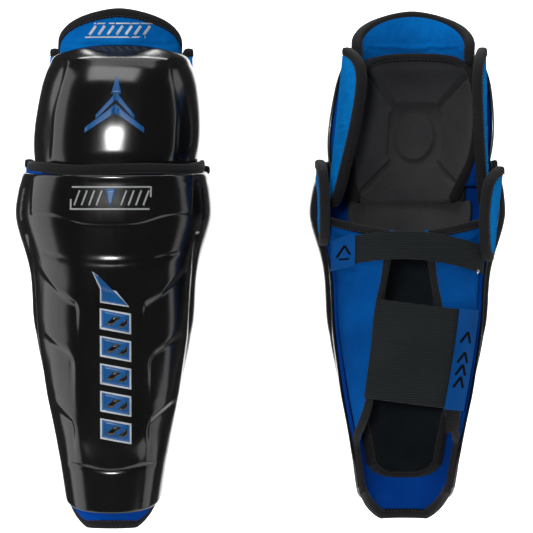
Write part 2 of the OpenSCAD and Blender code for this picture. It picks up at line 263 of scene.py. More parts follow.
def outward(verts, faces):
    """True if the faces of a closed mesh point outwards."""
    a, b, c = (verts[faces[:, k]] for k in (0, 1, 2))
    d = verts[faces[:, 3]]
    return np.einsum("ij,ij->", np.cross(a, b), c) + np.einsum("ij,ij->", np.cross(a, c), d) > 0


def slab(name, side, place, size, step, outer, inner, rim, material):
    verts, faces, border = slab_arrays(place, size, step, outer, inner, rim)
    if not outward(verts, faces):
        faces = faces[:, ::-1]
    o = mesh_object(name, side, verts, faces.tolist(), [material])
    BORDER[o.name] = [o.data.vertices[int(k)].co.copy() for k in border]
    return o


COVER_FRAMES = 18       # how long a cover's simulation runs


def puffed(o, limit, pressure=3.0, growth=0.02, sewn=7.0, free=13.0):
    """Fills a foam piece's cover out from inside with a cloth simulation; its rim stays sewn down.
    limit is how far the cover may move, in mm, and growth how much too wide it is cut. It is held within
    sewn of the rim, and is free from the distance called free on."""
    rim = kdtree.KDTree(len(BORDER[o.name]))
    for k, co in enumerate(BORDER[o.name]):
        rim.insert(co, k)
    rim.balance()
    pin = o.vertex_groups.new(name="sewn")
    for v in o.data.vertices:
        near = rim.find(v.co)[2]*1000
        if near < free:
            pin.add([v.index], float(1 - ease((near - sewn)/(free - sewn))), "REPLACE")
    cloth = o.modifiers.new("cover", "CLOTH")
    c = cloth.settings
    c.quality = 5
    c.mass = 0.15
    c.tension_stiffness = c.compression_stiffness = 20
    c.shear_stiffness = 8
    c.bending_stiffness = 0.3
    c.shrink_min = -growth
    c.use_pressure = True
    c.uniform_pressure_force = pressure
    c.vertex_group_mass = pin.name
    c.effector_weights.gravity = 0
    cloth.collision_settings.use_collision = False
    cloth.point_cache.frame_start, cloth.point_cache.frame_end = 1, COVER_FRAMES
    before = np.array([v.co for v in o.data.vertices])
    scene = bpy.context.scene
    for f in range(1, COVER_FRAMES + 1):
        scene.frame_set(f)
    shape = o.evaluated_get(bpy.context.evaluated_depsgraph_get()).to_mesh()
    after = np.array([v.co for v in shape.vertices])
    scene.frame_set(1)
    o.modifiers.remove(cloth)
    move = after - before
    size = np.linalg.norm(move, axis=1, keepdims=True)
    move *= np.minimum(1, limit/1000/np.maximum(size, 1e-9))
    o.data.vertices.foreach_set("co", (before + move).ravel())
    o.vertex_groups.remove(pin)
    o.data.update()


def path_length(points):
    """How far along a path each of its points lies."""
    return np.concatenate([[0], np.cumsum(np.linalg.norm(np.diff(points, axis=0), axis=1))])


def sweep(points, across, normal, width, thick, power=0.62, ring=12):
    """A flattened round tape along a path, with tapered ends: across points into the panel and normal out."""
    phi = np.linspace(0, 2*math.pi, ring, endpoint=False)
    ca = np.sign(np.cos(phi))*np.abs(np.cos(phi))**power
    sa = np.sign(np.sin(phi))*np.abs(np.sin(phi))**power
    n = len(points)
    run = path_length(points)
    size = (0.25 + 0.75*rounded(np.minimum(run, run[-1] - run), width/2))[:, None]
    verts = (points[:, None, :] + across[:, None, :]*(size*ca*width/2)[:, :, None]
             + normal[:, None, :]*(size*sa*thick/2)[:, :, None]).reshape(-1, 3)
    verts = np.concatenate([verts, points[:1], points[-1:]])
    faces = []
    for k in range(ring):
        k2 = (k + 1) % ring
        faces += [[a + k, a + k2, a + ring + k2, a + ring + k] for a in range(0, (n - 1)*ring, ring)]
        faces += [[k2, k, n*ring], [(n - 1)*ring + k, (n - 1)*ring + k2, n*ring + 1]]
    return verts, faces


def round_corners(u, v, du, dv):
    """Pulls the four corners of a panel inwards, so that they stay inside a rounded tape."""
    c = np.abs(2*u - 1)**7*np.abs(2*v - 1)**7
    return 0.5 + (u - 0.5)*(1 - du*c), 0.5 + (v - 0.5)*(1 - dv*c)


def unit(a):
    return a/np.maximum(np.linalg.norm(a, axis=-1, keepdims=True), 1e-9)


def stitch_row(points, across, normal, pitch=3.2, length=2.3, width=0.9, height=0.45, sunk=0.2):
    """Small rounded stitches along a path of points, each a low hump of three sides and two ends."""
    run = path_length(points)

    def at(q, values):
        return np.array([np.interp(q, run, values[:, k]) for k in range(3)])
    verts, faces = [], []
    for s in np.arange(pitch/2, run[-1] - pitch/2, pitch):
        p0, p1 = at(s - length/2, points), at(s + length/2, points)
        a, n = unit(at(s, across)), unit(at(s, normal))
        base = len(verts)
        for p, f in ((p0, 0.3), (mix(p0, p1, 0.25), 1), (mix(p0, p1, 0.75), 1), (p1, 0.3)):
            verts += [p - a*width/2*f - n*sunk, p + n*height*f, p + a*width/2*f - n*sunk]
        for b in range(base, base + 9, 3):
            faces += [[b + i, b + 3 + i, b + 3 + j, b + j] for i, j in ((0, 1), (1, 2), (2, 0))]
        faces += [[base, base + 1, base + 2], [base + 11, base + 10, base + 9]]
    return np.array(verts), faces


def bound_edge(name, side, place, route, inwards, width, thick, mid, rows=(1,), inset=0.5):
    """A folded tape round a panel's edge with a row of stitches. route is the edge's (u, v) points and
    inwards the (u, v) steps that lead into the panel; mid is the panel's middle offset."""
    route, inwards = np.array(route, float), np.array(inwards, float)
    p = place(route[:, 0], route[:, 1], mid)
    normal = unit(place(route[:, 0], route[:, 1], mid + 1.0) - p)
    along = unit(np.gradient(p, axis=0))
    q = place(route[:, 0] + inwards[:, 0], route[:, 1] + inwards[:, 1], mid) - p
    across = q - along*np.sum(q*along, -1, keepdims=True)
    across = unit(across - normal*np.sum(across*normal, -1, keepdims=True))
    middle = p + across*(width/2 - inset)
    verts, faces = sweep(middle, across, normal, width, thick)
    mats = [0]*len(faces)
    for way in rows:
        line = middle + across*(width/2 - 1.9) + normal*way*(thick/2)
        more, stitches = stitch_row(line, across, normal*way)
        faces += [[k + len(verts) for k in f] for f in stitches]
        verts = np.concatenate([verts, more])
        mats += [1]*len(stitches)
    o = mesh_object(name, side, verts, faces, ["binding", "thread"], mats)
    fix_normals(o)
    return o


def fix_normals(o):
    bm = bmesh.new()
    bm.from_mesh(o.data)
    bmesh.ops.recalc_face_normals(bm, faces=bm.faces)
    bm.to_mesh(o.data)
    bm.free()


def three_sides(across, along, far, step):
    """The route of a tape up one side of a panel, along its far edge (v = far) and down the other side, with
    the steps that lead inwards from it."""
    us, vs = np.linspace(0, 1, across), np.linspace(1 - far, far, along)
    route = [(0.0, v) for v in vs[:-1]] + [(u, far) for u in us] + [(1.0, v) for v in vs[::-1][1:]]
    inw = [(0.02, 0)]*(along - 1) + [(0, step)]*across + [(-0.02, 0)]*(along - 1)
    return route, inw


def soften(points, span):
    """Rounds the corners of a route by a running mean, with its ends kept."""
    p = np.array(points, float)
    q = p.copy()
    kernel = np.ones(span)/span
    for _ in range(3):
        pad = np.concatenate([np.repeat(q[:1], span//2, 0), q, np.repeat(q[-1:], span//2, 0)])
        q = np.stack([np.convolve(pad[:, k], kernel, "valid") for k in range(2)], -1)
        q[0], q[-1] = p[0], p[-1]
    return q


# ---- materials

def new_material(name):
    m = bpy.data.materials.new(name)
    m.use_nodes = True
    return m, m.node_tree, m.node_tree.nodes["Principled BSDF"]


def constants(shader, **values):
    """Sets values on a node's own sockets; an underline stands for a space."""
    for k, v in values.items():
        shader.inputs[k.replace("_", " ")].default_value = v


def coords(tree, scale=(1, 1, 1), rotation=(0, 0, 0)):
    tex = tree.nodes.new("ShaderNodeTexCoord")
    mapping = tree.nodes.new("ShaderNodeMapping")
    constants(mapping, Scale=scale, Rotation=rotation)
    tree.links.new(tex.outputs["Object"], mapping.inputs["Vector"])
    return mapping.outputs["Vector"]


def noise(tree, vector, scale, detail):
    n = tree.nodes.new("ShaderNodeTexNoise")
    constants(n, Scale=scale, Detail=detail)
    tree.links.new(vector, n.inputs["Vector"])
    return n.outputs["Fac"]


def ramp(tree, fac, socket, low, high, low_at=0.3, high_at=0.7):
    """Leads a factor to a shader's socket as a blend of two values, each a colour or a grey number."""
    r = tree.nodes.new("ShaderNodeValToRGB")
    for stop, place, value in zip(r.color_ramp.elements, (low_at, high_at), (low, high)):
        stop.position = place
        stop.color = (*(value if isinstance(value, (list, tuple)) else [value]*3), 1)
    tree.links.new(fac, r.inputs["Fac"])
    tree.links.new(r.outputs["Color"], socket)


def math_node(tree, operation, a, b=None):
    n = tree.nodes.new("ShaderNodeMath")
    n.operation = operation
    for socket, value in zip(n.inputs, (a, b)):
        if isinstance(value, (int, float)):
            socket.default_value = value
        elif value is not None:
            tree.links.new(value, socket)
    return n.outputs[0]


def weighted(tree, *parts):
    """The sum of some factors, each times its share."""
    total = 0.0
    for fac, share in parts:
        total = math_node(tree, "ADD", math_node(tree, "MULTIPLY", fac, share), total)
    return total


def bumped(tree, shader, height, strength, distance, under=None):
    b = tree.nodes.new("ShaderNodeBump")
    constants(b, Strength=strength, Distance=distance)
    tree.links.new(height, b.inputs["Height"])
    if under is not None:
        tree.links.new(under, b.inputs["Normal"])
    if shader is not None:
        tree.links.new(b.outputs["Normal"], shader.inputs["Normal"])
    return b.outputs["Normal"]


def gloss_plastic(name, colour):
    m, tree, sh = new_material(name)
    vec = coords(tree)
    cloud, fine = noise(tree, vec, 14.0, 4.0), noise(tree, vec, 900.0, 2.0)
    streak = noise(tree, coords(tree, (1, 1, 0.12), (0.3, 0.2, 0.1)), 60.0, 6.0)
    ramp(tree, cloud, sh.inputs["Base Color"], [c*0.8 for c in colour], [c*1.35 for c in colour])
    ramp(tree, streak, sh.inputs["Roughness"], 0.13, 0.24, 0.35, 0.75)
    under = bumped(tree, None, cloud, 0.12, 0.002)
    bumped(tree, sh, fine, 0.04, 0.0002, under)
    constants(sh, Specular_IOR_Level=0.5, Coat_Weight=0.25, Coat_Roughness=0.17)
    return m


def knit(name, dark, light, scale, sheen=0.0, rough=0.9, strength=0.5):
    """A fine knitted face on foam: small cells, tonal clouds and a soft sheen."""
    m, tree, sh = new_material(name)
    vec = coords(tree)
    cells = tree.nodes.new("ShaderNodeTexVoronoi")
    constants(cells, Scale=scale, Randomness=0.55)
    tree.links.new(coords(tree, (1, 1, 1.35)), cells.inputs["Vector"])
    cloud, fuzz = noise(tree, vec, 22.0, 5.0), noise(tree, vec, scale*0.9, 3.0)
    ramp(tree, weighted(tree, (cloud, 0.7), (fuzz, 0.3)), sh.inputs["Base Color"], dark, light)
    ramp(tree, fuzz, sh.inputs["Roughness"], rough - 0.1, rough + 0.1)
    under = bumped(tree, None, cells.outputs["Distance"], strength, 0.0004)
    bumped(tree, sh, cloud, 0.25, 0.0015, under)
    constants(sh, Sheen_Weight=sheen, Sheen_Roughness=0.5, Specular_IOR_Level=0.04)
    return m


def ribbed(name, dark, light, pitch, strength=0.6):
    """Woven tape or elastic: level ribs a pitch apart, with the yarn's own grain across them."""
    m, tree, sh = new_material(name)
    vec = coords(tree)
    sep = tree.nodes.new("ShaderNodeSeparateXYZ")
    tree.links.new(vec, sep.inputs[0])
    wave = math_node(tree, "SINE", math_node(tree, "MULTIPLY", sep.outputs["Z"], 2*math.pi/pitch))
    rib = math_node(tree, "ADD", math_node(tree, "MULTIPLY", wave, 0.5), 0.5)
    grain, cloud = noise(tree, vec, 1800.0, 2.0), noise(tree, vec, 30.0, 4.0)
    tone = weighted(tree, (rib, 0.45), (grain, 0.25), (cloud, 0.3))
    ramp(tree, tone, sh.inputs["Base Color"], dark, light, 0.25, 0.75)
    ramp(tree, grain, sh.inputs["Roughness"], 0.7, 0.92)
    under = bumped(tree, None, rib, strength, 0.0003)
    bumped(tree, sh, grain, 0.3, 0.0002, under)
    constants(sh, Sheen_Weight=0.05, Specular_IOR_Level=0.12)
    return m


def metal(name, colour):
    m, tree, sh = new_material(name)
    n = noise(tree, coords(tree), 400.0, 3.0)
    ramp(tree, n, sh.inputs["Base Color"], [c*0.8 for c in colour], colour)
    ramp(tree, n, sh.inputs["Roughness"], 0.2, 0.42)
    bumped(tree, sh, n, 0.1, 0.0001)
    constants(sh, Metallic=1.0)
    return m


def print_ink(name, dark, light):
    """Screen-printed ink: thin, slightly uneven, with a soft gloss."""
    m, tree, sh = new_material(name)
    cloud, speck = noise(tree, coords(tree), 45.0, 4.0), noise(tree, coords(tree), 1500.0, 2.0)
    ramp(tree, cloud, sh.inputs["Base Color"], dark, light)
    ramp(tree, speck, sh.inputs["Roughness"], 0.24, 0.4)
    bumped(tree, sh, speck, 0.08, 0.0001)
    return m


# name, dark and light colour, scale of the cells, sheen, roughness, strength of the relief
KNITS = {
    "blue": ("blue_neoprene", (0.001, 0.10, 0.37), (0.0015, 0.175, 0.58), 1300.0),
    # the wings' knit is the blue neoprene made lighter: painted light, for the key light falling on their
    # outer faces
    "blue_wing": ("blue_wing_neoprene", (0.0013, 0.15, 0.47), (0.002, 0.25, 0.72), 1300.0),
    "blue_calf": ("blue_calf_knit", (0.001, 0.055, 0.24), (0.0015, 0.10, 0.40), 1300.0),
    "blue_dark": ("blue_liner_knit", (0.001, 0.036, 0.22), (0.0015, 0.062, 0.37), 1300.0),
    "shin_lining": ("dark_shin_lining", (0.004, 0.006, 0.008), (0.010, 0.013, 0.016), 900.0, 0.05, 0.85, 0.6),
    "lining": ("black_brushed_lining", (0.032, 0.032, 0.033), (0.062, 0.062, 0.063), 900.0, 0.1, 0.85, 0.6),
    "tab": ("blue_tab_trim", (0.002, 0.052, 0.21), (0.006, 0.085, 0.32), 1800.0, 0.0, 0.5, 0.2),
    "slot": ("slot_dark", (0.003, 0.003, 0.003), (0.008, 0.008, 0.008), 700.0)}
# name, dark and light colour, pitch of the ribs in metres, strength of the relief
RIBS = {
    "binding": ("black_binding_tape", (0.006, 0.006, 0.007), (0.02, 0.02, 0.021), 0.0011),
    "thread": ("black_thread", (0.02, 0.02, 0.02), (0.075, 0.075, 0.077), 0.0006),
    "elastic": ("ribbed_elastic", (0.007, 0.009, 0.010), (0.022, 0.026, 0.028), 0.0016, 0.9),
    "webbing": ("woven_webbing", (0.008, 0.008, 0.009), (0.03, 0.03, 0.031), 0.0012),
    "hook": ("hook_tape", (0.004, 0.004, 0.004), (0.014, 0.014, 0.014), 0.0013, 1.0)}
INKS = {
    "ink_blue": ("ink_blue", (0.0008, 0.07, 0.225), (0.0015, 0.105, 0.34)),
    "ink_white": ("ink_pale", (0.42, 0.46, 0.5), (0.62, 0.66, 0.7)),
    "ink_grey": ("ink_grey", (0.24, 0.25, 0.26), (0.38, 0.39, 0.4))}
for make, table in ((knit, KNITS), (ribbed, RIBS), (print_ink, INKS)):
    for key, values in table.items():
        MAT[key] = make(*values)
MAT["shell"] = gloss_plastic("gloss_black_plastic", (0.0045, 0.0045, 0.005))
MAT["rivet"] = metal("plated_rivet", (0.75, 0.75, 0.77))

# ---- shells

SHELL_LOW, SHELL_HIGH = 14, 315
CAP_LOW = 302


def shell_turn(u, v):
    """The shell's wrap angle at (u, v)."""
    return (2*u - 1)*loft(SHIN, mix(SHELL_LOW, SHELL_HIGH, v), 4)


def groove(d, width, depth):
    """A round-bottomed groove: depth below the surface at distance d from its line."""
    return -depth*np.exp(-(d/width)**2)


def segment_distance(x, z, a, b):
    """Distance in the front view from (x, z) to the segment a-b."""
    ax, az = a
    bx, bz = b
    t = np.clip(((x - ax)*(bx - ax) + (z - az)*(bz - az))/((bx - ax)**2 + (bz - az)**2), 0, 1)
    return np.hypot(x - ax - t*(bx - ax), z - az - t*(bz - az))


def line_distance(x, z, points):
    return np.min([segment_distance(x, z, a, b) for a, b in zip(points[:-1], points[1:])], axis=0)


# The moulded features of the shin shell, by (distance from the centre line, height), for the right-hand side
SIDE_GROOVE = [(76, 262), (74, 246), (71.5, 214), (69, 170), (62, 120), (50, 52)]
HOLLOWS = [
    [(66, 236), (46, 214), (30, 205), (24, 196)],
    [(60, 176), (38, 161), (30, 150), (29, 134)],
    [(54, 116), (35, 101), (29, 90), (28, 78)]]


def shell_relief(x, z):
    """Height of the shin shell's moulded relief above its plain surface, in mm."""
    a = np.abs(x)
    # the top band: a slightly raised, flat panel with a curved lower edge
    band_edge = 279 - 9*np.exp(-(a/40)**4)
    r = 1.1*ease((z - band_edge)/3.0)*ease((72 - a)/3)
    # side grooves, deep and dark, from the wings to the ankle
    r = r + groove(line_distance(a, z, SIDE_GROOVE), 1.7, 2.3)
    # the raised middle ridge, crowned down its length
    r = r + 1.6*ease((46 - a)/22)*ease((246 - z)/10)*ease((z - 60)/25)
    # three hollows on each side: a soft step down under a slanted ridge, then a rounded bay
    for line in HOLLOWS:
        d = line_distance(a, z, line)
        below = ease((line_height(line, a) - z)/8.0)
        bay = ease((a - (line[-1][0] + 2))/5)*ease((line[0][0] + 6 - a)/10)
        depth = np.clip(1 - (line_height(line, a) - z)/46.0, 0, 1)
        r = r - 1.7*below*bay*depth + 0.12*np.exp(-(d/3.5)**2)
    # lower panel line
    r = r + groove(z - (58 - 6*np.exp(-(a/26)**2)), 1.6, 0.7)*ease((40 - a)/4)
    # a crease between the top band and the middle ridge
    r = r + groove(z - (237 + 9*(a/60)**2), 2.2, 0.55)*ease((62 - a)/6)
    # a rolled lip along the top edge
    r = r + 0.5*np.exp(-((z - 312.5)/2.5)**2)
    return r


def line_height(line, a):
    """Height of a hollow's upper ridge at a distance from the centre line."""
    pts = sorted(line)
    return np.interp(a, [p[0] for p in pts], [p[1] for p in pts])


def slot_relief(t, z):
    """A narrow strap slot in each side wing."""
    d = np.hypot((np.abs(t) - 64)*1.45, np.maximum(np.abs(z - 289) - 12.5, 0))
    return -2.2*ease((2.0 - d)/1.1)


def shin_shell(side):
    def place(u, v, o):
        t = shell_turn(u, v)
        bend_up = (np.abs(t)/90)**2
        z = mix(SHELL_LOW + 11*bend_up, SHELL_HIGH + 2*bend_up, v)
        # rounded lower corners
        corner = np.clip((np.abs(2*u - 1) - 0.72)/0.28, 0, 1)
        return wall(SHIN, SHIN_N, t, z + 7*corner**3*(1 - v)**8, o)

    def outer(u, v):
        p = place(u, v, 0*u)
        x, z = p[..., 0] - centre(p[..., 2]), p[..., 2]
        front = ease((1.6 - np.abs(2*u - 1)*1.2)/0.6)
        return shell_relief(x, z)*front + slot_relief(shell_turn(u, v), z)
    o = slab("shin_shell_moulding", side, place, (330, 302), 1.3, outer, -SHELL_WALL, 1.3, "shell")
    attach(o, "shin_guards", "shell", side + "_shin_shell")


def cap_high(t):
    return 421 + 9*np.maximum(np.cos(np.radians(t)), 0)**2


def cap_relief(x, z):
    a = np.abs(x)
    # a flat front shield with a crisp step round it, and pinched cheeks at both sides
    width = 58 - 10*ease((z - 360)/60)
    shield = ease((width - a)/6)*ease((421 - z)/5)
    cheek = bump(a, 63, 12)*bump(z, 352, 34)
    top = 0.9*np.exp(-((z - 418)/4.0)**2)
    return 1.3*shield*ease((z - 322)/14) - 1.6*cheek + top + 0.8*ease((40 - a)/22)*bump(z, 350, 48)


def knee_cap(side):
    def place(u, v, o):
        t = (2*u - 1)*loft(CAP, mix(CAP_LOW, 424, v), 4)
        return wall(CAP, CAP_N, t, mix(CAP_LOW, cap_high(t), v), o)

    def outer(u, v):
        p = place(u, v, 0*u)
        return cap_relief(p[..., 0] - centre(p[..., 2]), p[..., 2])
    o = slab("knee_cap_moulding", side, place, (250, 124), 1.3, outer, -SHELL_WALL, 1.3, "shell")
    attach(o, side + "_knee_cap", "shell", side + "_knee_cap")


# ---- printed marks, all plain stripes and chevrons

def printed(name, side, films, surface, lift, material, body, slot, steps=(6, 6), blend=None, thick=0.35):
    """A thin printed film: each part has four (x, z) corners and follows the surface below it."""
    verts, faces = [], []
    u, v = np.meshgrid(np.linspace(0, 1, steps[0] + 1), np.linspace(0, 1, steps[1] + 1))
    for film in films:
        a, b, c, d = (np.array(q, float) for q in film)
        uu, vv = u[..., None], v[..., None]
        flat = (1 - vv)*((1 - uu)*a + uu*b) + vv*((1 - uu)*d + uu*c)
        top = surface(flat[..., 0], flat[..., 1], lift)
        low = surface(flat[..., 0], flat[..., 1], lift - thick)
        ix = np.arange(u.size).reshape(u.shape) + len(verts)
        jx = ix + u.size
        verts += list(top.reshape(-1, 3)) + list(low.reshape(-1, 3))
        faces += quads(ix).tolist() + quads(jx)[:, ::-1].tolist()
        for p, q in ((ix[0], jx[0]), (ix[-1], jx[-1]), (ix[:, -1], jx[:, -1]), (ix[:, 0], jx[:, 0])):
            faces += np.stack([p[:-1], q[:-1], q[1:], p[1:]], -1).tolist()
    o = mesh_object(name, side, np.array(verts), faces, [material])
    fix_normals(o)
    attach(o, body, slot, blend=blend)


def on_shell(x, z, lift):
    return front_at(SHIN, SHIN_N, x, z, lift + shell_relief(x, z))


def on_cap(x, z, lift):
    return front_at(CAP, CAP_N, x, z, lift + cap_relief(x, z))


def bar(x0, z0, x1, z1, half):
    """A straight stroke between two points, as one film."""
    d = np.array([x1 - x0, z1 - z0], float)
    n = np.array([-d[1], d[0]])/np.hypot(*d)*half
    return [(x0 - n[0], z0 - n[1]), (x1 - n[0], z1 - n[1]), (x1 + n[0], z1 + n[1]), (x0 + n[0], z0 + n[1])]


def chevron(cx, cz, half_w, rise, thick):
    """An upright chevron: two slanted parts that meet on the centre line."""
    return [[(cx - half_w, cz), (cx, cz + rise), (cx, cz + rise + thick), (cx - half_w, cz + thick*0.55)],
            [(cx, cz + rise), (cx + half_w, cz), (cx + half_w, cz + thick*0.55), (cx, cz + rise + thick)]]


def outline(films, grow):
    """The same films, a little larger all round."""
    films = [np.array(q, float) for q in films]
    return [q + grow*np.sign(q - q.mean(axis=0)) for q in films]


def marks(side):
    root, cap = "shin_guards", side + "_knee_cap"
    # knee cap: a stack of three chevrons under a spike
    blades = chevron(0, 352, 26, 17, 8) + chevron(0, 364, 17, 17, 6.5) + [
        [(-4.5, 386), (4.5, 386), (0.6, 401), (-0.6, 401)]]
    printed("cap_mark", side, blades, on_cap, 0.28, "ink_blue", cap, "neoprene")
    # band across the top: two rails, slanted bars and a blue wedge
    rails = [bar(-34, 285.2, 34.5, 285.2, 0.75), bar(-34, 304.5, 34.5, 304.5, 0.75)]
    posts = [bar(x, 288.5, x + 4.5, 301.5, 0.75) for x in (-31.5, -25, -18.5, -12, 9.5, 16, 22.5, 29)]
    frame_ends = [bar(-34.6, 284.6, -34.6, 294, 0.7), bar(35.2, 295.7, 35.2, 305, 0.7)]
    printed("band_mark", side, rails + posts + frame_ends, on_shell, 0.28, "ink_grey", root, "rivet")
    wedge = [[(-4.6, 303), (4.6, 303), (0.5, 288), (-0.5, 288)]]
    printed("band_wedge", side, wedge, on_shell, 0.30, "ink_blue", root, "neoprene")
    # column down the shin: slanted blocks with a pale edge, under a long point
    blocks, slashes = [], []
    for low in np.arange(5)*24.5 + 78:
        blocks.append([(-8, low + 5), (16.5, low), (16.5, low + 15.5), (-8, low + 20.5)])
        slashes.append([(-5, low + 7.5), (1, low + 6.3), (9, low + 13.5), (3, low + 14.7)])
        slashes.append([(5.5, low + 5.5), (11.5, low + 4.3), (14.5, low + 7.5), (14.5, low + 12.6)])
    point = [[(-8, 204), (15.5, 200), (4, 212), (-8, 216)], [(-8, 216), (4, 212), (-10, 226), (-15, 229.5)]]
    edges = outline(blocks, 1.5) + outline(point, 1.1)
    printed("column_edge", side, edges, on_shell, 0.22, "ink_white", root, "rivet")
    printed("column_mark", side, blocks + point, on_shell, 0.34, "ink_blue", root, "neoprene")
    printed("column_slashes", side, slashes, on_shell, 0.44, "shell", root, "shell", steps=(3, 3))


def thigh_mark(side, cover):
    """A row of slanted bars on the front of the thigh pad, laid on its filled cover."""
    tree = bvhtree.BVHTree.FromPolygons([v.co for v in cover.data.vertices],
                                        [f.vertices for f in cover.data.polygons])
    way = 1 if side == "right" else -1

    def on_cover(x, z, lift):
        p = front_at(THIGH, THIGH_N, x, z, 0)
        world = placed(side, p)
        for k in np.ndindex(x.shape):
            start = Vector((world[k][0], world[k][1] - way*0.05, world[k][2]))
            hit = tree.ray_cast(start, Vector((0, way, 0)))[0]
            if hit is not None:
                p[k][1] = way*hit.y*1000
        p[..., 1] -= lift
        return p
    bars = [bar(x, 438.6, x + 5.6, 446.6, 1.2) for x in range(-26, 24, 8)]
    bars += [bar(-30, 436.6, 24, 436.6, 0.6), bar(-22, 448.8, 30, 448.8, 0.6)]
    printed("thigh_mark", side, bars, on_cover, 0.3, "ink_white", "", "rivet", blend=thigh_bend(side))


# ---- liners and pads

def liner_low(t):
    return 30*(np.maximum(0, np.abs(t) - 34)/58)**1.3


def shin_liner(side):
    top = 317.5

    def place(u, v, o):
        t = (2*u - 1)*(loft(SHIN, mix(12, top, v), 4) - 1)
        return wall(SHIN, SHIN_N, t, mix(liner_low(t) + 3, top, v), o)
    o = slab("shin_liner_foam", side, place, (310, 308), 3.0, -SHELL_WALL - 0.3, LINER_IN, 1.8, "blue_dark")
    attach(o, "shin_guards", "neoprene", side + "_shin_liner")
    # ankle binding along the bottom
    route = [(u, -0.008) for u in np.linspace(0.0, 1.0, 120)]
    edge = bound_edge("ankle_binding", side, place, route, [(0, 0.01)]*len(route), 9.0, 6.4,
                      (-SHELL_WALL - 0.3 + LINER_IN)/2, rows=(1, -1))
    attach(edge, "shin_guards", "binding", side + "_edge_binding")


def rim_binding(side):
    def place(u, v, o):
        t = (2*u - 1)*100
        return wall(SHIN, SHIN_N, t, mix(314, 324 + 2.5*(np.abs(t)/90)**2, v) + 0.8*np.sin(t/11.0), o)
    route = [(u, 1.0) for u in np.linspace(0, 1, 110)]
    roll = bound_edge("rim_roll", side, place, route, [(0, -0.1)]*len(route), 10.5, 5.0, -4.0)
    attach(roll, "shin_guards", "binding", side + "_shin_rim_binding")

    def under(u, v, o):
        """The liner's blue edge, which shows between the roll and the shell."""
        return wall(SHIN, SHIN_N, mix(-97, -48, u), mix(313, 320 - 2.5*u, v), o)
    edge = slab("rim_liner_edge", side, under, (70, 7), 3.0, -1.9, -4.6, 1.2, "blue_dark")
    attach(edge, "shin_guards", "neoprene")


def shin_pad(side):
    pad_in = LINER_IN - LAYER_GAP - PAD_T

    def place(u, v, o):
        t = (2*u - 1)*57
        low = 38 + 13*np.abs(2*u - 1)**3
        return wall(SHIN, SHIN_N, t, mix(low, 258, v), o)

    def inner(u, v):
        crown = 1 - 0.35*(np.abs(2*u - 1))**4
        return pad_in + 1.2 - 1.2*crown + 0.5*np.sin(v*21)*np.sin(u*9)*0.4
    o = slab("shin_pad_foam", side, place, (120, 220), 2.2, LINER_IN - 0.3, inner, 4.0, "shin_lining")
    route, inw = three_sides(60, 60, 0, 0.02)
    edge = bound_edge("shin_pad_binding", side, place, route, inw, 6.6, 8.0, (LINER_IN + pad_in)/2 - 0.2,
                      rows=(-1,))
    attach(o, "shin_guards", "lining", side + "_shin_pad")
    attach(edge, "shin_guards", "binding", side + "_shin_pad")


def knee_liner(side):
    def place(u, v, o):
        z = mix(303, 409, v)
        return wall(CAP, CAP_N, (2*u - 1)*(loft(CAP, z, 4) - 2), z, o)
    o = slab("knee_liner_foam", side, place, (220, 106), 3.0, -SHELL_WALL - 0.5, -9.2, 2.5, "blue_dark")
    attach(o, side + "_knee_cap", "neoprene", side + "_knee_liner")


PAD_SHIFT = 6.4             # the pad's round centre lies this far to the medial side
PAD_MIDDLE = 348.5
# half wrap angle of the knee pad by height
PAD_WRAP = [[286, 47], [305, 57], [325, 68], [350, 76], [385, 79], [405, 79], [424, 78]]
# where the pad's four channels start and end, from its round centre, for the medial side
CHANNELS = [((20, 27), (46, 59)), ((20, -23), (46, -50))]


def pad_relief(x, z):
    """Height of the knee pad's moulded fields: four panels, a frame round the middle and a domed disc."""
    r = np.hypot(x/18.5, z/22.5)
    disc = ease((1.04 - r)/0.13)*(0.8 + 0.5*(1 - np.minimum(r, 1)**2))
    outside = np.maximum(np.abs(x) - 25.0, np.abs(z - 1.5) - 29.0)
    corner = (np.abs(x) + 0.8*np.abs(z - 1.5)) - 40.0
    panel = ease((np.maximum(outside, corner) + 2.2)/3.0)
    d = np.min([segment_distance(np.abs(x), z, start, end) for start, end in CHANNELS], axis=0)
    panel = panel*ease((d - 1.1)/2.4)
    return 4.9*(np.maximum(disc, panel) - 1) + 0.5*panel*np.exp(-((r - 2.2)/0.9)**2)


def knee_pad(side):
    """The moulded pad that the knee rests on."""
    def place(u, v, o):
        z = mix(287, 413.5 + 10*(1 - (2*u - 1)**2), v)
        t = (2*u - 1)*loft(PAD_WRAP, z)
        p = wall(KNEE_HOLLOW, CAP_N, t, z, o)
        p[..., 0] += 3.5*ease((z - 300)/30)
        return p

    def inner(u, v):
        p = place(u, v, 0*u)
        x = p[..., 0] - centre(p[..., 2]) - PAD_SHIFT
        return -1.6 - pad_relief(x, p[..., 2] - PAD_MIDDLE)

    def foam_place(u, v, o):
        u, v = round_corners(u, v, 0.09, 0.1)
        return place(u, v, o)
    o = slab("knee_pad_foam", side, foam_place, (158, 130), 1.15, 5.5, inner, 4.0, "lining")
    route, inw = three_sides(70, 50, 1, -0.02)
    edge = bound_edge("knee_pad_binding", side, place, soften(route, 7), soften(inw, 7), 7.6, 9.0, 1.5,
                      rows=(-1,))
    attach(o, side + "_knee_cap", "lining", side + "_knee_pad")
    attach(edge, side + "_knee_cap", "binding", side + "_knee_pad")


